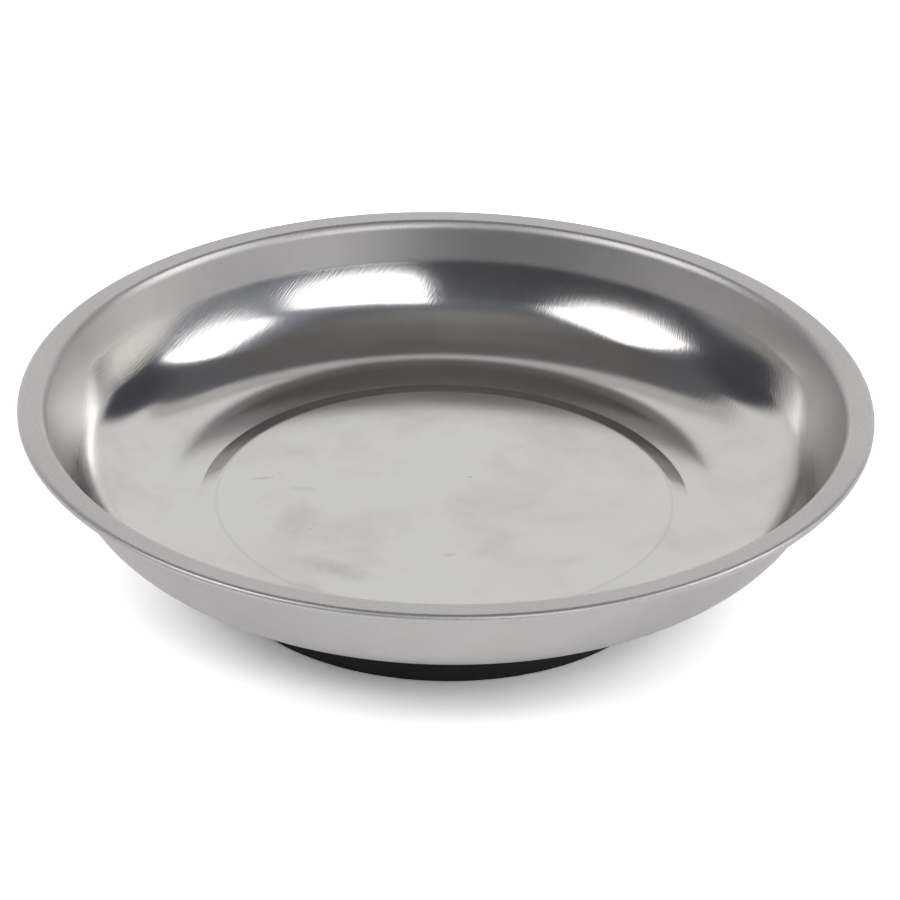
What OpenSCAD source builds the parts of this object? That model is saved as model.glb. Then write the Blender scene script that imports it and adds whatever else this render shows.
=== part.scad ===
// Round magnetic parts tray: a pressed stainless dish standing on a ring magnet in a rubber boot.
// Millimetres, +Z up. The origin is the centre of the boot's underside, on the surface that it stands on.
// The boot and magnet are stacked up from the origin, and the dish sits on top of them.

/* [Dish] */
// Outside diameter over the folded rim
rim_d = 150; // [125:1:200]
// Width of the rim, from its outer edge in to the mouth of the well
rim_w = 5.2; // [4.6:0.1:8]
// Depth of the well, from the top of the rim to the ring of floor round the pad
well_depth = 20.2; // [16:0.1:30]
// Thickness of the stainless sheet
sheet_t = 0.7; // [0.5:0.05:0.9]
// Inside radius of the bend from the floor up into the wall
wall_bend_r = 15.2; // [10:0.1:18]
// Radius of that bend's eased foot, as a multiple of the bend's own
foot_ease = 1.65; // [1.2:0.05:1.8]
// Slope at which the eased foot hands over to the bend, in degrees
foot_angle = 18; // [8:1:22]
// Slope at which the bend hands over to the wall's gentler curve, in degrees
bend_angle = 58; // [46:1:62]
// Slope of that curve at the line where the wall's straight top starts, in degrees
draw_angle = 64.6; // [62.2:0.2:66]
// Slope of the wall's straight top, in degrees
wall_angle = 69.4; // [66:0.2:78]
// Height of the wall's straight top, up to the mouth
wall_top_h = 5.4; // [3:0.1:7]
// Radius over the wall's turn outwards at the mouth
throat_r = 3.2; // [2.4:0.1:4]
// Slope at which that turn hands over to the bend into the rim, in degrees
throat_angle = 45; // [35:1:50]
// Radius over the top of the bend into the rim
rim_bend_r = 1; // [0.95:0.05:1.4]
// Gap left inside the fold of the rim
hem_gap = 0.3; // [0.1:0.05:0.5]
// Width of the layer folded back under the rim
hem_w = 3.4; // [2:0.1:3.6]

/* [Pad in the floor] */
// Height of the pad above the ring of floor round it
pad_rise = 0.42; // [0.3:0.02:1.5]
// Slope of the pad's side, in degrees
pad_angle = 8; // [5:1:16]
// Radius over the pad's upper edge
pad_edge_r = 5; // [2:0.1:6]
// Radius of the hollow at the foot of the pad's side
pad_root_r = 1.5; // [0.8:0.1:2]
// Least width of the flat ring of floor between the pad and the wall's bend
floor_ring_w = 1; // [0.5:0.1:5]
// How far the flat of the pad runs out past the boot
seat_margin = 0.1; // [0.05:0.05:2]

/* [Magnet] */
// Outside diameter of the ring magnet
magnet_d = 72; // [60:1:78]
// Bore of the ring magnet
magnet_bore_d = 32; // [24:1:36]
// Thickness of the ring magnet
magnet_t = 10; // [8.5:0.5:12]
// Chamfer on the magnet's edges
magnet_chamfer = 1; // [0.8:0.1:1.5]
// Thickness of the adhesive between the magnet and the dish
bond_t = 0.3; // [0.2:0.05:0.6]

/* [Rubber boot] */
// Thickness of the boot's side wall
boot_wall = 3.9; // [2:0.1:6]
// Thickness of the boot's floor under the magnet
boot_floor_t = 2.7; // [2.3:0.1:6]
// Radius of the boot's lower edge
boot_edge_r = 0.3; // [0.2:0.1:1.5]
// Radius of the boot's upper edge
boot_lip_r = 0.4; // [0.2:0.1:0.8]
// Number of grip grooves in the boot's underside
groove_count = 3; // [1:1:3]
// Width of a grip groove
groove_w = 1.2; // [0.6:0.1:2]
// Depth of a grip groove
groove_depth = 0.4; // [0.2:0.1:0.8]
// Distance between neighbouring grip grooves
groove_pitch = 7; // [4:0.5:9]

/* [Fastening] */
// Thread diameter of the weld stud
thread_d = 5; // [4:0.5:6]
// Diameter of the stud's weld flange
stud_flange_d = 7; // [6.5:0.5:9]
// Thickness of the stud's weld flange
stud_flange_t = 0.8; // [0.5:0.1:1.5]
// Length of stud that shows below the nut
stud_proud = 1; // [0.5:0.1:1.5]
// Thickness of the clamp cup's sheet
cup_t = 1; // [0.8:0.1:1.5]
// Width of the clamp cup's flange that bears on the magnet
cup_flange_w = 6; // [3:0.5:8]
// Inside radius of the clamp cup's bends
cup_bend_r = 0.6; // [0.3:0.1:0.8]
// Outside diameter of the plain washer
washer_d = 10; // [9:0.5:13]
// Thickness of the plain washer
washer_t = 1; // [0.8:0.1:1.6]
// Outside diameter of the spring washer
spring_d = 9.2; // [8.5:0.1:12]
// Thickness of the spring washer
spring_t = 1.2; // [0.8:0.1:1.6]
// Width of the slit in the spring washer
slit_w = 0.7; // [0.4:0.1:1.2]
// Slope of the slit in the spring washer, in degrees
slit_angle = 20; // [0:1:30]
// Width of the nut across its flats
nut_af = 8; // [7.5:0.5:12]
// Height of the nut
nut_h = 4; // [3:0.1:5]
// Chamfer on the nut's and the stud's ends
thread_chamfer = 0.5; // [0.3:0.1:0.8]

/* [Fits] */
// Slip clearance all round, between one piece and the piece that it slides over
fit_gap = 0.1; // [0.05:0.05:0.2]
// Clearance all round between the clamp cup and what is inside or outside it
cup_gap = 0.3; // [0.1:0.1:0.5]

/* [Hidden] */
$fn = 180;
// Steps in the curves of a revolved outline
small_steps = 8;
wall_steps = 24;
// How far a cut runs past the face that it starts from
overrun = 0.5;
hex_sides = 6;

// Levels, from the boot's underside up
magnet_z = boot_floor_t;
magnet_top_z = magnet_z + magnet_t;
seat_z = magnet_top_z + bond_t;
pad_z = seat_z + sheet_t;
floor_z = pad_z - pad_rise;
rim_z = floor_z + well_depth;

// The boot round the magnet
cavity_r = magnet_d / 2 + fit_gap;
boot_r = cavity_r + boot_wall;
lip_r = cavity_r - magnet_chamfer;

// The sheet of the dish: where each bend in it is centred, measured from the axis
rim_r = rim_d / 2;
mouth_r = rim_r - rim_w;
pad_r = boot_r + seat_margin;
pad_side = (pad_rise - (pad_edge_r + pad_root_r) * (1 - cos(pad_angle))) / sin(pad_angle);
pad_root_at = pad_r + (pad_edge_r + pad_root_r) * sin(pad_angle) + pad_side * cos(pad_angle);
throat_drop = throat_r * (cos(throat_angle) - cos(wall_angle)) + rim_bend_r * (1 - cos(throat_angle));
wall_h = well_depth - throat_drop - wall_top_h;
curve_slope = (bend_angle + draw_angle) / 2;
wall_lean = wall_h / tan(curve_slope) + wall_top_h / tan(wall_angle);
bend_run = sin(bend_angle) - sin(foot_angle) + foot_ease * sin(foot_angle);
bend_climb = cos(foot_angle) - cos(bend_angle) + foot_ease * (1 - cos(foot_angle));
bend_lean = bend_run - bend_climb / tan(curve_slope);
wall_room = mouth_r - pad_root_at - floor_ring_w;
bend_r = min(wall_bend_r, (wall_room - wall_lean) / bend_lean);
foot_r = foot_ease * bend_r;
foot_at = mouth_r - wall_lean - bend_r * bend_lean;
wall_bend_at = foot_at + (foot_r - bend_r) * sin(foot_angle);
wall_bend_z = floor_z + foot_r - (foot_r - bend_r) * cos(foot_angle);
wall_r = (wall_h - bend_r * bend_climb) / (cos(bend_angle) - cos(draw_angle));
wall_at = wall_bend_at - (wall_r - bend_r) * sin(bend_angle);
wall_z = wall_bend_z + (wall_r - bend_r) * cos(bend_angle);
rim_bend_at = mouth_r + throat_r * (sin(wall_angle) - sin(throat_angle)) + rim_bend_r * sin(throat_angle);
throat_at = rim_bend_at + (throat_r - rim_bend_r) * sin(throat_angle);
throat_z = rim_z - rim_bend_r - (throat_r - rim_bend_r) * cos(throat_angle);
hem_r = sheet_t + hem_gap / 2;
hem_at = rim_r - hem_r;
hem_z = rim_z - 2 * hem_r;

// The clamp cup, which hangs on the stud inside the magnet's bore
cup_z = magnet_z - cup_t;
cup_roof_z = seat_z - stud_flange_t - cup_gap;
cup_r = magnet_bore_d / 2 - cup_gap;
cup_flange_r = magnet_bore_d / 2 + cup_flange_w;
cup_outer_bend_r = cup_bend_r + cup_t;
hole_d = thread_d + 2 * cup_gap;

// The fasteners under the roof of the clamp cup, from the roof down
washer_z = cup_roof_z - cup_t - washer_t;
spring_z = washer_z - spring_t;
nut_z = spring_z - nut_h;
stud_end_z = nut_z - stud_proud;
nut_bore_d = thread_d + 2 * fit_gap;
nut_corner_r = nut_af / 2 / cos(180 / hex_sides);

// Hollow in the boot's floor for the clamp cup's flange
pocket_r = cup_flange_r + cup_gap;
groove_outer_r = boot_r - groove_pitch;

// Points on an arc about a centre, from one angle to another. An arc that carries on from another skips its first
// point, which the two share
function arc(centre, radius, from, to, steps = small_steps, first = 0) =
    [for (i = [first : steps]) let (a = from + (to - from) * i / steps) centre + radius * [cos(a), sin(a)]];

function reversed(points) = [for (i = [len(points) - 1 : -1 : 0]) points[i]];

// One face of the dish's sheet from the axis out to the rim's fold, set back from the upper face
function sheet_face(depth) = concat(
    [[0, pad_z - depth]],
    arc([pad_r, pad_z - pad_edge_r], pad_edge_r - depth, 90, 90 - pad_angle),
    arc([pad_root_at, floor_z + pad_root_r], pad_root_r + depth, 270 - pad_angle, 270),
    arc([foot_at, floor_z + foot_r], foot_r + depth, -90, foot_angle - 90),
    arc([wall_bend_at, wall_bend_z], bend_r + depth, foot_angle - 90, bend_angle - 90, wall_steps, first = 1),
    arc([wall_at, wall_z], wall_r + depth, bend_angle - 90, draw_angle - 90, first = 1),
    arc([throat_at, throat_z], throat_r - depth, 90 + wall_angle, 90 + throat_angle),
    arc([rim_bend_at, rim_z - rim_bend_r], rim_bend_r - depth, 90 + throat_angle, 90, first = 1),
    arc([hem_at, rim_z - hem_r], hem_r - depth, 90, -90));

// Pressed dish: floor with a raised pad, curved wall, flat rim and the hem folded back under it
module dish() {
    hem_end = [[rim_r - hem_w, hem_z], [rim_r - hem_w, hem_z + sheet_t]];
    color("silver")
        rotate_extrude()
            polygon(concat(sheet_face(0), hem_end, reversed(sheet_face(sheet_t))));
}

// Stud welded to the middle of the dish's underside
module weld_stud() {
    shank_r = thread_d / 2;
    color("gainsboro")
        rotate_extrude()
            polygon([[0, stud_end_z], [shank_r - thread_chamfer, stud_end_z],
                [shank_r, stud_end_z + thread_chamfer], [shank_r, seat_z - stud_flange_t],
                [stud_flange_d / 2, seat_z - stud_flange_t], [stud_flange_d / 2, seat_z], [0, seat_z]]);
}

// Ring of adhesive that bonds the magnet to the dish
module bond_ring() {
    color("ivory")
        translate([0, 0, magnet_top_z])
            tube(lip_r - fit_gap, magnet_bore_d / 2 + magnet_chamfer, bond_t);
}

// Ferrite ring magnet with all four edges chamfered
module ring_magnet() {
    outer_r = magnet_d / 2;
    bore_r = magnet_bore_d / 2;
    c = magnet_chamfer;
    color("dimgray")
        rotate_extrude()
            polygon([[bore_r + c, magnet_z], [outer_r - c, magnet_z], [outer_r, magnet_z + c],
                [outer_r, magnet_top_z - c], [outer_r - c, magnet_top_z], [bore_r + c, magnet_top_z],
                [bore_r, magnet_top_z - c], [bore_r, magnet_z + c]]);
}

// Pressed steel cup that stands up inside the magnet's bore and holds it up by its flange
module clamp_cup() {
    inner_r = cup_r - cup_t;
    roof_under_z = cup_roof_z - cup_t;
    roof_bend = [inner_r - cup_bend_r, roof_under_z - cup_bend_r];
    flange_bend = [cup_r + cup_bend_r, magnet_z + cup_bend_r];
    outside = concat(
        arc(flange_bend, cup_bend_r, 270, 180),
        arc(roof_bend, cup_outer_bend_r, 0, 90));
    inside = concat(
        arc(roof_bend, cup_bend_r, 90, 0),
        arc(flange_bend, cup_outer_bend_r, 180, 270));
    color("lightsteelblue")
        rotate_extrude()
            polygon(concat([[cup_flange_r, magnet_z]], outside, [[hole_d / 2, cup_roof_z]],
                [[hole_d / 2, roof_under_z]], inside, [[cup_flange_r, cup_z]]));
}

// Flat ring with a round hole, standing on the level that it is moved to
module tube(outer_r, bore_r, height) {
    difference() {
        cylinder(r = outer_r, h = height);
        translate([0, 0, -overrun])
            cylinder(r = bore_r, h = height + 2 * overrun);
    }
}

module plain_washer() {
    color("gainsboro")
        translate([0, 0, washer_z])
            tube(washer_d / 2, nut_bore_d / 2 + fit_gap, washer_t);
}

// Spring washer pressed flat, with its slanting slit
module spring_washer() {
    color("gray")
        translate([0, 0, spring_z])
            difference() {
                tube(spring_d / 2, nut_bore_d / 2, spring_t);
                translate([spring_d / 2, 0, spring_t / 2])
                    rotate([slit_angle, 0, 0])
                        cube([spring_d, slit_w, 2 * (spring_t + overrun)], center = true);
            }
}

// Hexagon nut with chamfered corners
module hex_nut() {
    flat_r = nut_af / 2;
    rise = nut_corner_r - flat_r;
    color("gainsboro")
        translate([0, 0, nut_z])
            difference() {
                intersection() {
                    cylinder(r = nut_corner_r, h = nut_h, $fn = hex_sides);
                    rotate_extrude()
                        polygon([[0, 0], [flat_r, 0], [nut_corner_r, rise], [nut_corner_r, nut_h - rise],
                            [flat_r, nut_h], [0, nut_h]]);
                }
                translate([0, 0, -overrun])
                    cylinder(d = nut_bore_d, h = nut_h + 2 * overrun);
            }
}

// Rubber boot: a cup that stretches over the magnet and hooks over its upper chamfer
module rubber_boot() {
    lower_edge = arc([boot_r - boot_edge_r, boot_edge_r], boot_edge_r, -90, 0);
    upper_edge = arc([boot_r - boot_lip_r, seat_z - boot_lip_r], boot_lip_r, 0, 90);
    lip = [[lip_r, seat_z], [lip_r, magnet_top_z], [cavity_r, magnet_top_z - magnet_chamfer]];
    floor_line = [[cavity_r, magnet_z], [pocket_r, magnet_z], [pocket_r, cup_z], [0, cup_z]];
    color("#1c1c1e")
        difference() {
            rotate_extrude()
                polygon(concat([[0, 0]], lower_edge, upper_edge, lip, floor_line));
            for (i = [0 : groove_count - 1])
                grip_groove(groove_outer_r - i * groove_pitch);
        }
}

// Shallow ring cut into the boot's underside
module grip_groove(outer_r) {
    translate([0, 0, -overrun])
        tube(outer_r, outer_r - groove_w, overrun + groove_depth);
}

dish();
weld_stud();
bond_ring();
ring_magnet();
clamp_cup();
plain_washer();
spring_washer();
hex_nut();
rubber_boot();
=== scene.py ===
"""Looks of the round magnetic parts tray: a satin stainless dish on a ring magnet in a black rubber boot.

Metres, +Z up. The dish and the boot are lathed here with finer curves than the solids, on the same sizes.
The pieces inside the boot keep their solids and get materials of their own.
"""
import math

import bpy
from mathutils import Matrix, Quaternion, Vector


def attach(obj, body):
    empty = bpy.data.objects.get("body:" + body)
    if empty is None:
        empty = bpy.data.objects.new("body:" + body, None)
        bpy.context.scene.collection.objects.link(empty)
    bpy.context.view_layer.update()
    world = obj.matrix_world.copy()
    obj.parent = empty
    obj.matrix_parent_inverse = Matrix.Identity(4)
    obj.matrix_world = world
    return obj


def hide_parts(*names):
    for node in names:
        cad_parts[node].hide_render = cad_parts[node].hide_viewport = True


MM = 0.001

# Dish, in millimetres and degrees
RIM_R = 75.0
RIM_W = 5.2
WELL_DEPTH = 20.2
SHEET_T = 0.7
FOOT_ANGLE = 18.0
WALL_BEND_R = 15.2
FOOT_R = 1.65 * WALL_BEND_R
BEND_ANGLE = 58.0
DRAW_ANGLE = 64.6
WALL_ANGLE = 69.4
WALL_TOP_H = 5.4
THROAT_R = 3.2
THROAT_ANGLE = 45.0
RIM_BEND_R = 1.0
HEM_GAP = 0.3
HEM_W = 3.4
PAD_R = 40.1
PAD_RISE = 0.42
PAD_ANGLE = 8.0
PAD_EDGE_R = 5.0
PAD_ROOT_R = 1.5
SEAT_Z = 13.0

# Boot, in millimetres
BOOT_R = 40.0
BOOT_EDGE_R = 0.3
BOOT_LIP_R = 0.4
CAVITY_R = 36.1
LIP_R = 35.1
MAGNET_Z = 2.7
MAGNET_TOP_Z = 12.7
MAGNET_CHAMFER = 1.0
POCKET_R = 22.3
POCKET_Z = 1.7
GROOVE_RADII = (33.0, 26.0, 19.0)
GROOVE_W = 1.2
GROOVE_DEPTH = 0.4

# Distance of the mesh's holding rings from the ends of an arc, in millimetres: in the dish, and along its
# rim and the boot
HOLD = 0.3
RIM_HOLD = 0.2

# Direction of the sheet's grain in the flat blank, from +X
GRAIN_ANGLE = math.radians(65)
TURN_STEPS = 288

# Zones of the sheet, in millimetres: where the left and right sides of the wall begin by x and end by y
SIDE_X = (45.0, 58.0)
SIDE_Y = (6.0, 26.0)
# How much further down the satin top of the wall reaches at the sides, along the sheet
SIDE_DROP = 7.0
# How far the change from satin to smooth spreads at the back, off the middle, and more at the sides
DRAW_SPREAD = 0.9
SIDE_SPREAD = 2.0
DROP_SPREAD = 2.4
# How far the change to the grainy rim spreads, and where along the sheet the sides of the bend turn duller
RIM_SPREAD = 0.5
SIDE_RUN = (54.0, 62.0)
# Radius of the painted shade line round the pad's step
PAD_SHADE_LINE_R = PAD_R + 0.2

# Scuffs and finger smears on the pad, in millimetres and degrees: middle (x, y), half length, half width,
# turn and depth
SCUFFS = (
    (-19.0, -25.5, 10.5, 4.0, -28.0, 0.85), (-22.5, -32.5, 6.5, 1.4, -30.0, 0.7),
    (-26.0, -8.0, 8.5, 5.5, 70.0, 0.5), (-25.0, 2.5, 4.2, 1.6, -4.0, 0.45),
    (-32.5, 6.2, 3.6, 0.7, 12.0, 0.7), (-40.6, 9.3, 2.6, 0.7, 62.0, 0.6),
    (1.2, -20.0, 1.9, 0.9, 10.0, 0.45), (9.0, -16.0, 9.0, 3.6, 55.0, 0.3),
    (-29.4, 8.2, 0.5, 0.5, 0.0, 0.9), (4.5, 8.2, 0.45, 0.45, 0.0, 0.9),
    (-23.3, -11.8, 0.5, 0.45, 0.0, 0.9), (22.0, -21.0, 6.0, 2.4, 20.0, 0.25),
)

# Camera, fitted to the photo
CAMERA_AT = Vector((0.0, -0.87606, 0.50304))
CAMERA_AIM = Vector((0.00083, 0.0, 0.02352))
CAMERA_ROLL = math.radians(1.086)
CAMERA_LENS = 227.04

# Softboxes as seen from the tray, in degrees: azimuth of the straight side and of the rounded end, counted
# from straight behind and clockwise from above, elevation of the middle of the side, half its height, rise
# to the end, and the level of the glow round it
SOFTBOXES = {
    "right": (79.5, 118.5, 34.0, 14.2, 0.5, 0.26),
    "front": (171.5, 126.0, 38.6, 9.7, -9.0, 0.18),
    "left": (-97.5, -145.0, 39.5, 15.2, 0.5, 0.0),
}
# Radiance in the middle of a softbox and at its edge
SOFTBOX_RADIANCE = (5.0, 2.4)

# Backdrop card and the lit strip above it, in degrees: azimuth of the middle, half width where it starts and
# ends to fade, elevation of the top, and fall of the top per square degree aside of its highest point
CARD = {"middle": -4.75, "half": (49.0, 52.5), "top": 44.2, "fall": 0.0032}
STRIP = {"middle": -5.75, "half": (51.0, 54.5), "top": 54.2, "fall": 0.0055}
# Azimuth of the highest point of both tops
ARCH_MIDDLE = -6.0

# Upper edge of the room's low band, in degrees: azimuth of the middle, azimuths aside of it between which
# the edge rises, and its elevations there
LOW_MIDDLE = -8.0
LOW_ASIDE = (50.0, 92.0)
LOW_TOP = (3.5, 15.0)

# Tints of the room, and its level and tint low down all round by azimuth in degrees
HAZE = (0.92, 0.98, 1.12)
COOL = (0.98, 0.99, 1.03)
PLAIN = (1.0, 1.0, 1.0)
WARM = (1.05, 1.0, 0.94)
LOW_BAND = (
    (-180, 0.21, COOL), (-158, 0.21, COOL), (-143, 0.27, COOL), (-120, 0.33, COOL), (-98, 0.38, PLAIN),
    (-84, 0.5, PLAIN), (-72, 0.8, WARM), (-58, 1.0, PLAIN), (47, 1.0, PLAIN), (55, 0.6, WARM),
    (64, 1.2, WARM), (84, 1.05, WARM), (96, 0.75, PLAIN), (127, 0.75, PLAIN), (142, 0.76, PLAIN),
    (157, 0.66, PLAIN), (172, 0.3, COOL),
)

# Half the width of the floor, in metres
FLOOR_HALF = 8.0


# Outlines

def arc(centre, radius, start, end, steps):
    """Points on an arc as (r, z), from one angle to another in degrees."""
    points = []
    for i in range(steps + 1):
        a = math.radians(start + (end - start) * i / steps)
        points.append((centre[0] + radius * math.cos(a), centre[1] + radius * math.sin(a)))
    return points


def sides(angle):
    """Sine and cosine of an angle in degrees."""
    return math.sin(math.radians(angle)), math.cos(math.radians(angle))


def between(start, end, share):
    """The point at a share of the way from one point to another."""
    return (start[0] + (end[0] - start[0]) * share, start[1] + (end[1] - start[1]) * share)


def sheet_face(depth):
    """One face of the dish's sheet from the axis out to the rim's fold, set back from the upper face."""
    pad_z = SEAT_Z + SHEET_T
    floor_z = pad_z - PAD_RISE
    rim_z = floor_z + WELL_DEPTH
    mouth_r = RIM_R - RIM_W
    pad_sin, pad_cos = sides(PAD_ANGLE)
    foot_sin, foot_cos = sides(FOOT_ANGLE)
    bend_sin, bend_cos = sides(BEND_ANGLE)
    draw_cos = sides(DRAW_ANGLE)[1]
    wall_sin, wall_cos = sides(WALL_ANGLE)
    throat_sin, throat_cos = sides(THROAT_ANGLE)
    pad_side = (PAD_RISE - (PAD_EDGE_R + PAD_ROOT_R) * (1 - pad_cos)) / pad_sin
    pad_root_at = PAD_R + (PAD_EDGE_R + PAD_ROOT_R) * pad_sin + pad_side * pad_cos
    wall_h = WELL_DEPTH - THROAT_R * (throat_cos - wall_cos) - RIM_BEND_R * (1 - throat_cos) - WALL_TOP_H
    slant = math.tan(math.radians((BEND_ANGLE + DRAW_ANGLE) / 2))
    curve_h = wall_h - FOOT_R * (1 - foot_cos) - WALL_BEND_R * (foot_cos - bend_cos)
    lean = FOOT_R * foot_sin + WALL_BEND_R * (bend_sin - foot_sin) + curve_h / slant
    foot_at = mouth_r - WALL_TOP_H * wall_cos / wall_sin - lean
    bend_at = foot_at + (FOOT_R - WALL_BEND_R) * foot_sin
    bend_z = floor_z + FOOT_R - (FOOT_R - WALL_BEND_R) * foot_cos
    wall_r = curve_h / (bend_cos - draw_cos)
    wall_at = bend_at - (wall_r - WALL_BEND_R) * bend_sin
    wall_z = bend_z + (wall_r - WALL_BEND_R) * bend_cos
    rim_bend_at = mouth_r + THROAT_R * (wall_sin - throat_sin) + RIM_BEND_R * throat_sin
    throat_at = rim_bend_at + (THROAT_R - RIM_BEND_R) * throat_sin
    throat_z = rim_z - RIM_BEND_R - (THROAT_R - RIM_BEND_R) * throat_cos
    hem_r = SHEET_T + HEM_GAP / 2
    points = [(r, pad_z - depth) for r in (0.0, 2.0, 12.0, 26.0, PAD_R - HOLD)]
    points += arc((PAD_R, pad_z - PAD_EDGE_R), PAD_EDGE_R - depth, 90, 90 - PAD_ANGLE, 10)
    points += arc((pad_root_at, floor_z + PAD_ROOT_R), PAD_ROOT_R + depth, 270 - PAD_ANGLE, 270, 8)
    points += [(pad_root_at + HOLD, floor_z - depth), (foot_at - HOLD, floor_z - depth)]
    points += arc((foot_at, floor_z + FOOT_R), FOOT_R + depth, -90, FOOT_ANGLE - 90, 18)
    points += arc((bend_at, bend_z), WALL_BEND_R + depth, FOOT_ANGLE - 90, BEND_ANGLE - 90, 40)[1:]
    points += arc((wall_at, wall_z), wall_r + depth, BEND_ANGLE - 90, DRAW_ANGLE - 90, 24)[1:]
    throat = arc((throat_at, throat_z), THROAT_R - depth, 90 + WALL_ANGLE, 90 + THROAT_ANGLE, 12)
    points += [between(points[-1], throat[0], share) for share in (0.1, 0.4, 0.7, 0.95)]
    points += throat
    points += arc((rim_bend_at, rim_z - RIM_BEND_R), RIM_BEND_R - depth, 90 + THROAT_ANGLE, 90, 12)[1:]
    points += [(rim_bend_at + RIM_HOLD, rim_z - depth), (RIM_R - hem_r - RIM_HOLD, rim_z - depth)]
    points += arc((RIM_R - hem_r, rim_z - hem_r), hem_r - depth, 90, -90, 20)
    return points


def run_to(height):
    """Length along the dish's upper face from the axis out to where its wall reaches a height."""
    run = 0.0
    face = sheet_face(0.0)
    for start, end in zip(face, face[1:]):
        if end[1] >= height:
            return run + math.dist(start, end) * (height - start[1]) / (end[1] - start[1])
        run += math.dist(start, end)
    return run


def mouth_z():
    """Height of the head of the wall's straight top."""
    wall_cos = sides(WALL_ANGLE)[1]
    throat_cos = sides(THROAT_ANGLE)[1]
    rim_z = SEAT_Z + SHEET_T - PAD_RISE + WELL_DEPTH
    return rim_z - THROAT_R * (throat_cos - wall_cos) - RIM_BEND_R * (1 - throat_cos)


def dish_outline():
    """The closed outline of the sheet: out along its upper face, round the hem and back underneath."""
    upper = sheet_face(0.0)
    under = sheet_face(SHEET_T)
    hem_z = upper[-1][1]
    hem_end = [(RIM_R - HEM_W, hem_z), (RIM_R - HEM_W, hem_z + SHEET_T)]
    return upper + hem_end + under[::-1]


def groove(outer_r):
    """The outline of one grip groove in the boot's underside, from the middle outwards."""
    inner_r = outer_r - GROOVE_W
    return [(inner_r, 0.0), (inner_r, GROOVE_DEPTH), (outer_r, GROOVE_DEPTH), (outer_r, 0.0)]


def boot_outline():
    """The closed outline of the boot, out along its underside, up its side and down into its cavity."""
    points = [(0.0, 0.0)]
    for outer_r in sorted(GROOVE_RADII):
        points += groove(outer_r)
    points += arc((BOOT_R - BOOT_EDGE_R, BOOT_EDGE_R), BOOT_EDGE_R, -90, 0, 8)
    points += [(BOOT_R, BOOT_EDGE_R + RIM_HOLD), (BOOT_R, SEAT_Z - BOOT_LIP_R - RIM_HOLD)]
    points += arc((BOOT_R - BOOT_LIP_R, SEAT_Z - BOOT_LIP_R), BOOT_LIP_R, 0, 90, 6)
    points += [(LIP_R, SEAT_Z), (LIP_R, MAGNET_TOP_Z), (CAVITY_R, MAGNET_TOP_Z - MAGNET_CHAMFER)]
    points += [(CAVITY_R, MAGNET_Z), (POCKET_R, MAGNET_Z), (POCKET_R, POCKET_Z), (0.0, POCKET_Z)]
    return points


# Meshes

def path_lengths(outline):
    """Length along the outline to each point from the nearer end, so that both faces start at the axis."""
    run = [0.0]
    for (r0, z0), (r1, z1) in zip(outline, outline[1:]):
        run.append(run[-1] + math.hypot(r1 - r0, z1 - z0))
    return [min(length, run[-1] - length) for length in run]


def lathe(name, outline):
    """A closed mesh turned from an outline that starts and ends on the axis.

    Its UV map lays the sheet out flat again, in metres, with U along the grain of the blank.
    """
    verts = []
    flat = []
    rings = []
    for (r, z), run in zip(outline, path_lengths(outline)):
        steps = TURN_STEPS if r > 0 else 1
        rings.append(range(len(verts), len(verts) + steps))
        for k in range(steps):
            a = 2 * math.pi * k / TURN_STEPS
            verts.append((r * MM * math.cos(a), r * MM * math.sin(a), z * MM))
            flat.append((run * MM * math.cos(a - GRAIN_ANGLE), run * MM * math.sin(a - GRAIN_ANGLE)))
    faces = []
    for inner, outer in zip(rings, rings[1:]):
        for k in range(TURN_STEPS):
            corners = [inner[k % len(inner)], outer[k % len(outer)]]
            corners += [outer[(k + 1) % len(outer)], inner[(k + 1) % len(inner)]]
            faces.append(tuple(dict.fromkeys(corners)))
    mesh = bpy.data.meshes.new(name)
    mesh.from_pydata(verts, [], faces)
    layer = mesh.uv_layers.new(name="blank")
    for loop in mesh.loops:
        layer.data[loop.index].uv = flat[loop.vertex_index]
    mesh.shade_smooth()
    mesh.set_sharp_from_angle(angle=math.radians(35))
    mesh.update()
    obj = bpy.data.objects.new(name, mesh)
    bpy.context.collection.objects.link(obj)
    return obj


# Node helpers

def wire(tree, socket, value):
    """Link a socket to another node's output, or give it a plain value."""
    if isinstance(value, bpy.types.NodeSocket):
        tree.links.new(value, socket)
    else:
        socket.default_value = value


def calc(tree, operation, first, second=0.0):
    """A Math node's result."""
    node = tree.nodes.new("ShaderNodeMath")
    node.operation = operation
    wire(tree, node.inputs[0], first)
    wire(tree, node.inputs[1], second)
    return node.outputs[0]


def ramp(tree, value, low, high, start=0.0, end=1.0):
    """A smooth step of a value from one level to another."""
    node = tree.nodes.new("ShaderNodeMapRange")
    node.interpolation_type = "SMOOTHSTEP"
    wire(tree, node.inputs["Value"], value)
    node.inputs["From Min"].default_value = low
    node.inputs["From Max"].default_value = high
    node.inputs["To Min"].default_value = start
    node.inputs["To Max"].default_value = end
    return node.outputs["Result"]


def blend_colours(tree, share, first, second):
    """A mix of two colours."""
    node = tree.nodes.new("ShaderNodeMix")
    node.data_type = "RGBA"
    wire(tree, node.inputs["Factor"], share)
    wire(tree, node.inputs["A"], first)
    wire(tree, node.inputs["B"], second)
    return node.outputs["Result"]


def noise(tree, place, scale, detail=2.0, roughness=0.5):
    """A noise texture's level, about 0 to 1."""
    node = tree.nodes.new("ShaderNodeTexNoise")
    wire(tree, node.inputs["Vector"], place)
    node.inputs["Scale"].default_value = scale
    node.inputs["Detail"].default_value = detail
    node.inputs["Roughness"].default_value = roughness
    return node.outputs["Fac"]


def stretched(tree, place, scale):
    """Coordinates scaled by a different amount along each axis."""
    node = tree.nodes.new("ShaderNodeMapping")
    wire(tree, node.inputs["Vector"], place)
    node.inputs["Scale"].default_value = scale
    return node.outputs["Vector"]


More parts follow.
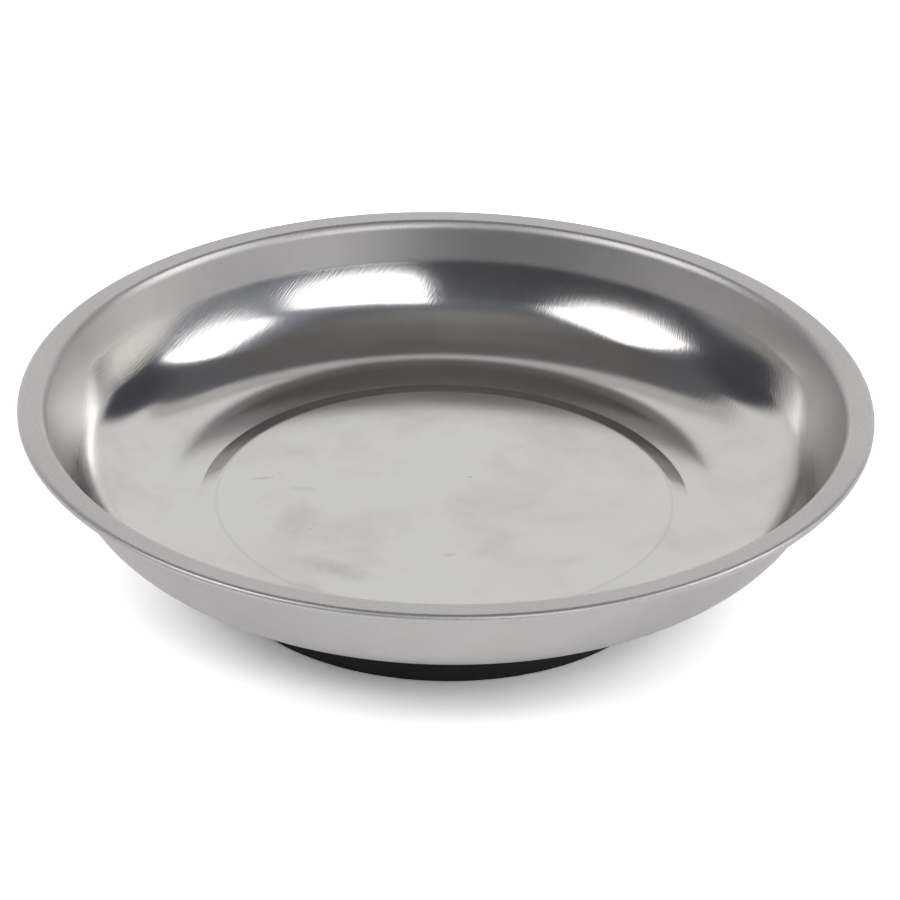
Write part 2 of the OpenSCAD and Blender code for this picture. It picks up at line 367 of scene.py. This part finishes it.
def bump(tree, height, distance, strength=1.0, under=None):
    """A bumped normal, on top of another one if that is given."""
    node = tree.nodes.new("ShaderNodeBump")
    wire(tree, node.inputs["Height"], height)
    node.inputs["Distance"].default_value = distance
    node.inputs["Strength"].default_value = strength
    if under is not None:
        wire(tree, node.inputs["Normal"], under)
    return node.outputs["Normal"]


def grey(level, tint=(1.0, 1.0, 1.0)):
    """A grey with a slight tint, as a colour with alpha."""
    return tuple(level * t for t in tint) + (1.0,)


def new_material(name):
    """An empty node material with a Principled shader. Returns the material, its tree and the shader."""
    material = bpy.data.materials.new(name)
    material.use_nodes = True
    tree = material.node_tree
    return material, tree, tree.nodes["Principled BSDF"]


def vector_length(tree, vector):
    """The length of a vector."""
    node = tree.nodes.new("ShaderNodeVectorMath")
    node.operation = "LENGTH"
    wire(tree, node.inputs[0], vector)
    return node.outputs["Value"]


def parts_of(tree, vector):
    """The three parts of a vector, by their names X, Y and Z."""
    node = tree.nodes.new("ShaderNodeSeparateXYZ")
    wire(tree, node.inputs[0], vector)
    return node.outputs


def object_place(tree):
    """Coordinates of a point in the row frame, in metres."""
    return tree.nodes.new("ShaderNodeTexCoord").outputs["Object"]


# Materials

def sheet_zones(tree, run):
    """Where the sheet is satin, where it is grainy and where it faces left or right, 0 to 1 each.

    The run is the length along the sheet from the axis, in metres.
    """
    foot = run_to(mouth_z() - WALL_TOP_H) * MM
    head = run_to(mouth_z()) * MM
    place = parts_of(tree, object_place(tree))
    off_middle = ramp(tree, calc(tree, "ABSOLUTE", place["X"]), SIDE_X[0] * MM, SIDE_X[1] * MM)
    near_middle = ramp(tree, calc(tree, "ABSOLUTE", place["Y"]), SIDE_Y[0] * MM, SIDE_Y[1] * MM, 1.0, 0.0)
    aside = calc(tree, "MULTIPLY", off_middle, near_middle)
    dropped = calc(tree, "ADD", run, calc(tree, "MULTIPLY", aside, SIDE_DROP * MM))
    above = calc(tree, "SUBTRACT", dropped, foot)
    spread = ramp(tree, off_middle, 0.0, 1.0, DRAW_SPREAD * MM, SIDE_SPREAD * MM)
    spread = calc(tree, "ADD", calc(tree, "MULTIPLY", aside, DROP_SPREAD * MM), spread)
    top = ramp(tree, calc(tree, "DIVIDE", above, spread), -1.0, 1.0)
    rim = ramp(tree, run, head - RIM_SPREAD * MM, head + RIM_SPREAD * MM)
    facing = parts_of(tree, tree.nodes.new("ShaderNodeTexCoord").outputs["Normal"])
    outside = calc(tree, "LESS_THAN", facing["Z"], 0.0)
    inside = calc(tree, "SUBTRACT", 1.0, outside)
    return calc(tree, "MAXIMUM", top, outside), calc(tree, "MULTIPLY", rim, inside), aside


def scuffed(tree, colour):
    """A colour with the pad's scuffs and smears on it."""
    ragged = calc(tree, "MULTIPLY", noise(tree, object_place(tree), 420.0, 3.0), 0.8)
    for x, y, half_length, half_width, turn, depth in SCUFFS:
        node = tree.nodes.new("ShaderNodeMapping")
        node.vector_type = "TEXTURE"
        wire(tree, node.inputs["Vector"], object_place(tree))
        node.inputs["Location"].default_value = (x * MM, y * MM, 0.0)
        node.inputs["Rotation"].default_value = (0.0, 0.0, math.radians(turn))
        node.inputs["Scale"].default_value = (half_length * MM, half_width * MM, 1.0)
        reach = calc(tree, "ADD", vector_length(tree, node.outputs["Vector"]), ragged)
        share = ramp(tree, reach, 0.45, 1.35, depth, 0.0)
        colour = blend_colours(tree, share, colour, grey(0.44, (1.0, 0.945, 0.9)))
    return colour


def sheet_colour(tree, place, run, satin, grainy, aside):
    """Colour of the sheet, and the speckle of its rim.

    It is bright low in the dish, with tan finger marks and specks, and pinkish grey where it is satin. A
    painted shade line runs round the pad's step, and a painted warm cream reflection lightens the satin
    where the wall faces left or right.
    """
    clouds = ramp(tree, noise(tree, place, 14.0, 2.0), 0.35, 0.7)
    bright = blend_colours(tree, clouds, grey(0.57, (1.0, 0.99, 0.975)), grey(0.556, (1.0, 0.985, 0.965)))
    film = ramp(tree, noise(tree, place, 46.0, 5.0, 0.6), 0.44, 0.68, 0.0, 0.95)
    bright = blend_colours(tree, film, bright, grey(0.525, (1.0, 0.95, 0.905)))
    bright = scuffed(tree, bright)
    # painted shade: a thin dark line along the pad's step, darkest at its radius
    edge = calc(tree, "ABSOLUTE", calc(tree, "SUBTRACT", run, PAD_SHADE_LINE_R * MM))
    bright = blend_colours(tree, ramp(tree, edge, 0.1 * MM, 0.5 * MM, 0.16, 0.0), bright, grey(0.3))
    mottle = ramp(tree, noise(tree, place, 90.0, 4.0, 0.6), 0.35, 0.68)
    dull = blend_colours(tree, mottle, grey(0.522, (1.0, 0.976, 0.965)), grey(0.503, (1.0, 0.97, 0.96)))
    # painted reflection: where the wall faces left or right, its satin is lightened to a warm cream,
    # standing in for the softbox light it reflects
    dull = blend_colours(tree, aside, dull, grey(0.64, (1.0, 0.965, 0.925)))
    speckle = noise(tree, place, 1700.0, 3.0, 0.6)
    grains = blend_colours(tree, ramp(tree, speckle, 0.34, 0.66), grey(0.49, (1.0, 0.975, 0.965)),
                           grey(0.54, (1.0, 0.98, 0.97)))
    dull = blend_colours(tree, grainy, dull, grains)
    colour = blend_colours(tree, satin, bright, dull)
    cells = tree.nodes.new("ShaderNodeTexVoronoi")
    wire(tree, cells.inputs["Vector"], place)
    cells.inputs["Scale"].default_value = 75.0
    chosen = calc(tree, "GREATER_THAN", noise(tree, cells.outputs["Position"], 400.0, 0.0), 0.58)
    specks = calc(tree, "MULTIPLY", ramp(tree, cells.outputs["Distance"], 0.012, 0.03, 0.6, 0.0), chosen)
    return blend_colours(tree, specks, colour, grey(0.16, (1.0, 0.95, 0.9))), speckle


def stainless():
    """Stainless sheet with a straight grain, smooth low in the dish and satin on its rim and outside."""
    material, tree, shader = new_material("stainless")
    uv = tree.nodes.new("ShaderNodeUVMap")
    uv.uv_map = "blank"
    place = uv.outputs["UV"]
    run = vector_length(tree, place)
    satin, grainy, aside = sheet_zones(tree, run)
    colour, speckle = sheet_colour(tree, place, run, satin, grainy, aside)
    wire(tree, shader.inputs["Base Color"], colour)
    shader.inputs["Metallic"].default_value = 1.0
    streaks = noise(tree, stretched(tree, place, (420.0, 3600.0, 1.0)), 1.0, 2.0)
    scratches = noise(tree, stretched(tree, place, (120.0, 2400.0, 1.0)), 1.0, 3.0)
    smudges = noise(tree, place, 38.0, 4.0)
    smooth = ramp(tree, smudges, 0.4, 0.75, 0.1, 0.13)
    rough = calc(tree, "ADD", smooth, calc(tree, "MULTIPLY", scratches, 0.04))
    drawn = calc(tree, "MULTIPLY", aside, ramp(tree, run, SIDE_RUN[0] * MM, SIDE_RUN[1] * MM, 0.0, 0.04))
    dull = calc(tree, "MULTIPLY", satin, ramp(tree, aside, 0.0, 1.0, 0.25, 0.22))
    rough = calc(tree, "ADD", rough, calc(tree, "MAXIMUM", drawn, dull))
    rough = calc(tree, "ADD", rough, calc(tree, "MULTIPLY", grainy, 0.05))
    wire(tree, shader.inputs["Roughness"], rough)
    shader.inputs["Anisotropic"].default_value = 0.3
    shader.inputs["Anisotropic Rotation"].default_value = 0.25
    tangent = tree.nodes.new("ShaderNodeTangent")
    tangent.direction_type = "UV_MAP"
    tangent.uv_map = "blank"
    wire(tree, shader.inputs["Tangent"], tangent.outputs["Tangent"])
    grain = bump(tree, streaks, 1.0e-5)
    pits = calc(tree, "MULTIPLY", speckle, grainy)
    wire(tree, shader.inputs["Normal"], bump(tree, pits, 5.0e-6, 1.0, grain))
    return material


def black_rubber():
    """Matt moulded rubber with a fine skin and a little dust."""
    material, tree, shader = new_material("black_rubber")
    place = object_place(tree)
    skin = noise(tree, place, 2600.0, 3.0)
    dust = noise(tree, place, 240.0, 4.0)
    colour = blend_colours(tree, ramp(tree, dust, 0.5, 0.8), grey(0.018), grey(0.026, (1.0, 0.99, 0.97)))
    wire(tree, shader.inputs["Base Color"], colour)
    wire(tree, shader.inputs["Roughness"], ramp(tree, dust, 0.3, 0.8, 0.6, 0.72))
    shader.inputs["Specular IOR Level"].default_value = 0.35
    wire(tree, shader.inputs["Normal"], bump(tree, skin, 1.0e-5, 0.6))
    return material


def plated_steel():
    """Bright zinc plate with a faint crystalline cloud."""
    material, tree, shader = new_material("plated_steel")
    place = object_place(tree)
    clouds = noise(tree, place, 420.0, 4.0)
    colour = blend_colours(tree, clouds, grey(0.5, (0.98, 1.0, 1.03)), grey(0.62, (1.0, 1.0, 0.97)))
    wire(tree, shader.inputs["Base Color"], colour)
    shader.inputs["Metallic"].default_value = 1.0
    wire(tree, shader.inputs["Roughness"], ramp(tree, clouds, 0.3, 0.7, 0.26, 0.4))
    wire(tree, shader.inputs["Normal"], bump(tree, noise(tree, place, 1800.0, 2.0), 3.0e-6))
    return material


def spring_steel():
    """Dark oiled spring steel."""
    material, tree, shader = new_material("spring_steel")
    place = object_place(tree)
    clouds = noise(tree, place, 600.0, 4.0)
    colour = blend_colours(tree, clouds, grey(0.1, (0.95, 0.98, 1.05)), grey(0.19, (1.03, 1.0, 0.95)))
    wire(tree, shader.inputs["Base Color"], colour)
    shader.inputs["Metallic"].default_value = 1.0
    wire(tree, shader.inputs["Roughness"], ramp(tree, clouds, 0.3, 0.7, 0.34, 0.5))
    wire(tree, shader.inputs["Normal"], bump(tree, noise(tree, place, 2200.0, 2.0), 4.0e-6))
    return material


def ferrite():
    """Charcoal sintered ferrite with a fine grain and paler chipped specks."""
    material, tree, shader = new_material("ferrite")
    place = object_place(tree)
    grains = noise(tree, place, 1500.0, 4.0)
    specks = noise(tree, place, 700.0, 3.0)
    colour = blend_colours(tree, ramp(tree, specks, 0.6, 0.75), grey(0.055, (1.0, 1.0, 1.03)), grey(0.1))
    wire(tree, shader.inputs["Base Color"], colour)
    wire(tree, shader.inputs["Roughness"], ramp(tree, grains, 0.3, 0.7, 0.55, 0.75))
    wire(tree, shader.inputs["Normal"], bump(tree, grains, 2.0e-5))
    return material


def adhesive():
    """Set epoxy, cream and slightly cloudy."""
    material, tree, shader = new_material("adhesive")
    place = object_place(tree)
    clouds = noise(tree, place, 300.0, 3.0)
    colour = blend_colours(tree, clouds, grey(0.74, (1.0, 0.93, 0.76)), grey(0.62, (1.0, 0.9, 0.7)))
    wire(tree, shader.inputs["Base Color"], colour)
    wire(tree, shader.inputs["Roughness"], ramp(tree, clouds, 0.3, 0.7, 0.35, 0.55))
    wire(tree, shader.inputs["Normal"], bump(tree, noise(tree, place, 900.0, 2.0), 2.0e-5))
    return material


def floor_paint():
    """White paper floor, with a painted shadow greying it close to the boot where the camera and the steel
    see it.

    The camera and the steel see it brighter than it lights the tray, so that it looks burnt out.
    """
    material, tree, shader = new_material("floor")
    place = object_place(tree)
    fibres = noise(tree, place, 900.0, 3.0)
    # painted shadow: 0 at the boot's edge, rising to 1 at about one and a half boot radii, where the floor
    # is fully white
    clear = ramp(tree, vector_length(tree, place), BOOT_R * MM, 1.55 * BOOT_R * MM)
    path = tree.nodes.new("ShaderNodeLightPath")
    mirrored = calc(tree, "MAXIMUM", path.outputs["Is Glossy Ray"], path.outputs["Is Transmission Ray"])
    paper = blend_colours(tree, fibres, grey(0.59), grey(0.61))
    # the steel sees the painted shadow too, so the reflection low on the outer wall is painted darker
    paper = blend_colours(tree, mirrored, paper, blend_colours(tree, clear, grey(1.0), grey(1.42)))
    seen = blend_colours(tree, clear, grey(1.7), grey(2.3))
    wire(tree, shader.inputs["Base Color"], blend_colours(tree, path.outputs["Is Camera Ray"], paper, seen))
    shader.inputs["Roughness"].default_value = 0.9
    shader.inputs["Specular IOR Level"].default_value = 0.0
    return material


# Stage

def make_floor():
    """A wide white floor under the tray."""
    mesh = bpy.data.meshes.new("floor")
    corners = [(-1, -1), (1, -1), (1, 1), (-1, 1)]
    mesh.from_pydata([(x * FLOOR_HALF, y * FLOOR_HALF, 0) for x, y in corners], [], [(0, 1, 2, 3)])
    floor = bpy.data.objects.new("floor", mesh)
    bpy.context.collection.objects.link(floor)
    floor.data.materials.append(floor_paint())


def softbox(tree, azimuth, elevation, side, end, middle, half_height, rise, glow):
    """Where a softbox and the glow round it cover the surroundings, 0 to 1, and the softbox's level."""
    deg = math.radians
    across = calc(tree, "DIVIDE", calc(tree, "SUBTRACT", azimuth, deg(side)), deg(end - side))
    centre = calc(tree, "ADD", calc(tree, "MULTIPLY", across, deg(rise)), deg(middle))
    up = calc(tree, "DIVIDE", calc(tree, "SUBTRACT", elevation, centre), deg(half_height))
    squares = calc(tree, "ADD", calc(tree, "POWER", across, 2.0), calc(tree, "POWER", up, 2.0))
    reach = calc(tree, "SQRT", squares)
    soft = 2.0 / abs(end - side)
    cover = ramp(tree, reach, 0.88, 1.1, 1.0, 0.0)
    level = ramp(tree, reach, 0.3, 1.0, *SOFTBOX_RADIANCE)
    near = ramp(tree, across, -soft, soft)
    halo = calc(tree, "MULTIPLY", ramp(tree, reach, 1.0, 1.9, glow, 0.0), near)
    return calc(tree, "MULTIPLY", cover, near), halo, level


def far_from(tree, azimuth, middle):
    """How far a direction lies to either side of an azimuth given in degrees, in radians."""
    return calc(tree, "ABSOLUTE", calc(tree, "SUBTRACT", azimuth, math.radians(middle)))


def above_top(tree, azimuth, elevation, screen):
    """How far a direction lies above a screen's top, which is highest behind the tray, in radians."""
    aside = calc(tree, "SUBTRACT", azimuth, math.radians(ARCH_MIDDLE))
    drop = calc(tree, "MULTIPLY", calc(tree, "POWER", aside, 2.0), math.degrees(screen["fall"]))
    return calc(tree, "SUBTRACT", elevation, calc(tree, "SUBTRACT", math.radians(screen["top"]), drop))


def screen_cover(tree, azimuth, above, screen, low, high):
    """Where a screen covers the surroundings, 0 to 1, with a top edge that fades between two angles."""
    start, end = (math.radians(angle) for angle in screen["half"])
    across = ramp(tree, far_from(tree, azimuth, screen["middle"]), start, end, 1.0, 0.0)
    return calc(tree, "MULTIPLY", across, ramp(tree, above, math.radians(low), math.radians(high), 1.0, 0.0))


def room(tree, azimuth, elevation):
    """Colour of the dim room: bluish low down, warmer towards the ceiling, brighter in front."""
    deg = math.radians
    front = ramp(tree, calc(tree, "ABSOLUTE", azimuth), deg(90), deg(170))
    low = blend_colours(tree, front, grey(0.083, (0.92, 0.96, 1.2)), grey(0.1, (0.94, 0.97, 1.14)))
    high = blend_colours(tree, front, grey(0.16, (0.95, 0.98, 1.1)), grey(0.2, (0.93, 0.98, 1.1)))
    top = blend_colours(tree, front, grey(0.178, (1.03, 0.99, 0.98)), grey(0.285, (1.04, 0.99, 0.97)))
    ceiling = grey(0.22, (1.06, 0.99, 0.94))
    top = blend_colours(tree, ramp(tree, elevation, deg(66), deg(88)), top, ceiling)
    sky = blend_colours(tree, ramp(tree, elevation, deg(28), deg(48)), low, high)
    return blend_colours(tree, ramp(tree, elevation, deg(50), deg(62)), sky, top)


def with_backdrop(tree, azimuth, elevation, sky):
    """The room with the white card behind the tray and the lit strip above the card."""
    deg = math.radians
    above_card = above_top(tree, azimuth, elevation, CARD)
    above_strip = above_top(tree, azimuth, elevation, STRIP)
    card = screen_cover(tree, azimuth, above_card, CARD, -1.0, 1.0)
    strip = screen_cover(tree, azimuth, above_strip, STRIP, -2.0, 1.5)
    band = blend_colours(tree, ramp(tree, above_card, deg(1.5), deg(4)), grey(0.6, (1.03, 0.99, 0.97)),
                         grey(0.68, (1.02, 0.99, 0.98)))
    sky = blend_colours(tree, strip, sky, band)
    return blend_colours(tree, card, sky, grey(1.0))


def with_low_band(tree, azimuth, elevation, sky):
    """The surroundings with the room's low band all round."""
    around = tree.nodes.new("ShaderNodeValToRGB")
    wire(tree, around.inputs["Fac"], calc(tree, "ADD", calc(tree, "DIVIDE", azimuth, 2 * math.pi), 0.5))
    stops = around.color_ramp.elements
    while len(stops) > 1:
        stops.remove(stops[-1])
    for i, (angle, level, tint) in enumerate(LOW_BAND):
        stop = stops[0] if i == 0 else stops.new(0.5 + angle / 360)
        stop.position = 0.5 + angle / 360
        stop.color = grey(level, tint)
    rise = [math.radians(angle) for angle in LOW_ASIDE + LOW_TOP]
    low_edge = ramp(tree, far_from(tree, azimuth, LOW_MIDDLE), *rise)
    soft = math.radians(1.8)
    below = ramp(tree, calc(tree, "SUBTRACT", elevation, low_edge), -soft, soft, 1.0, 0.0)
    return blend_colours(tree, below, sky, around.outputs["Color"])


def make_world():
    """A dim room with three softboxes and a white backdrop behind the tray, with a lit strip above it."""
    world = bpy.data.worlds.new("studio")
    bpy.context.scene.world = world
    world.use_nodes = True
    tree = world.node_tree
    way = parts_of(tree, tree.nodes.new("ShaderNodeTexCoord").outputs["Generated"])
    azimuth = calc(tree, "ARCTAN2", way["X"], way["Y"])
    elevation = calc(tree, "ARCSINE", way["Z"])
    sky = room(tree, azimuth, elevation)
    sky = with_backdrop(tree, azimuth, elevation, sky)
    sky = with_low_band(tree, azimuth, elevation, sky)
    for place in SOFTBOXES.values():
        cover, halo, level = softbox(tree, azimuth, elevation, *place)
        sky = blend_colours(tree, halo, sky, grey(1.0, HAZE))
        sky = blend_colours(tree, cover, sky, level)
    wire(tree, tree.nodes["Background"].inputs["Color"], sky)


def make_camera():
    """The photo's camera."""
    data = bpy.data.cameras.new("camera")
    data.lens = CAMERA_LENS
    data.sensor_width = 36.0
    camera = bpy.data.objects.new("camera", data)
    camera.location = CAMERA_AT
    camera.rotation_mode = "QUATERNION"
    aim = (CAMERA_AIM - CAMERA_AT).to_track_quat("-Z", "Y")
    camera.rotation_quaternion = aim @ Quaternion((0, 0, 1), CAMERA_ROLL)
    bpy.context.collection.objects.link(camera)
    bpy.context.scene.camera = camera


# The tray

def dress_node(node, material):
    """Give a CAD node a material of its own."""
    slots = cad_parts[node].data.materials
    slots.clear()
    slots.append(material)


def make_tray():
    """The lathed dish and boot, and the materials of the pieces inside the boot."""
    dish = lathe("pressed_dish", dish_outline())
    dish.data.materials.append(stainless())
    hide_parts("dish")
    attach(dish, "root")
    boot = lathe("moulded_boot", boot_outline())
    boot.data.materials.append(black_rubber())
    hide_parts("rubber_boot")
    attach(boot, "root")
    zinc = plated_steel()
    for node in ("weld_stud", "clamp_cup", "plain_washer", "hex_nut"):
        dress_node(node, zinc)
    dress_node("spring_washer", spring_steel())
    dress_node("ring_magnet", ferrite())
    dress_node("bond_ring", adhesive())


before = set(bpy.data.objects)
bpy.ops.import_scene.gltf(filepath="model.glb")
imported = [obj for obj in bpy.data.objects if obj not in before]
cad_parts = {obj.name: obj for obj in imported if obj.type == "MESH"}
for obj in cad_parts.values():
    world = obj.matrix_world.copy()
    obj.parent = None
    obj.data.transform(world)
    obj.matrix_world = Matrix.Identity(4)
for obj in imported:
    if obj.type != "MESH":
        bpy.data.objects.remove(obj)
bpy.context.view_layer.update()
make_tray()
make_floor()
make_world()
make_camera()
bpy.context.scene.view_settings.view_transform = "Standard"
